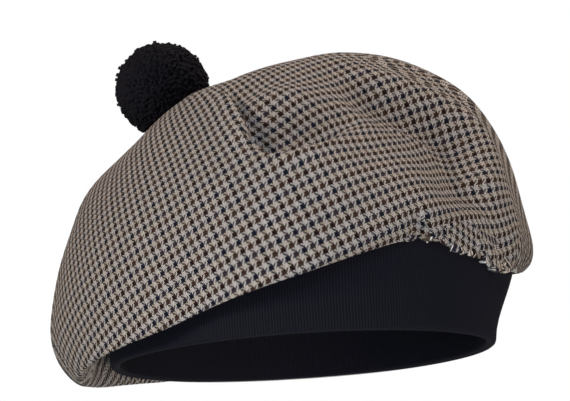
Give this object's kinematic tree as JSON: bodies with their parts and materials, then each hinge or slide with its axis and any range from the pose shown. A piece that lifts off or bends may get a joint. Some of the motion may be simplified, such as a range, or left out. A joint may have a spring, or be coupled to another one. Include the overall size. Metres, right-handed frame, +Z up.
{
  "type": "tam o shanter",
  "caption": "Tam o'shanter hat: a round houndstooth tweed crown slouched to one side, gathered to a ribbed black knit band, with a black yarn pompom.",
  "frame": {"origin": "middle of the band's lower edge, where the head goes in", "axes": "+Z up along the band's axis out of the wearer's head, -Y towards the wearer's front, -X towards the wearer's right"},
  "size_m": [0.2165, 0.2235, 0.1622],
  "materials": {
    "tweed": "woven wool houndstooth, matt",
    "black_knit": "fine ribbed knit, matt",
    "black_yarn": "cut wool yarn, matt"
  },
  "bodies": {
    "root": {"crown": "tweed", "headband": "black_knit", "pompom": "black_yarn"}
  },
  "joints": []
}
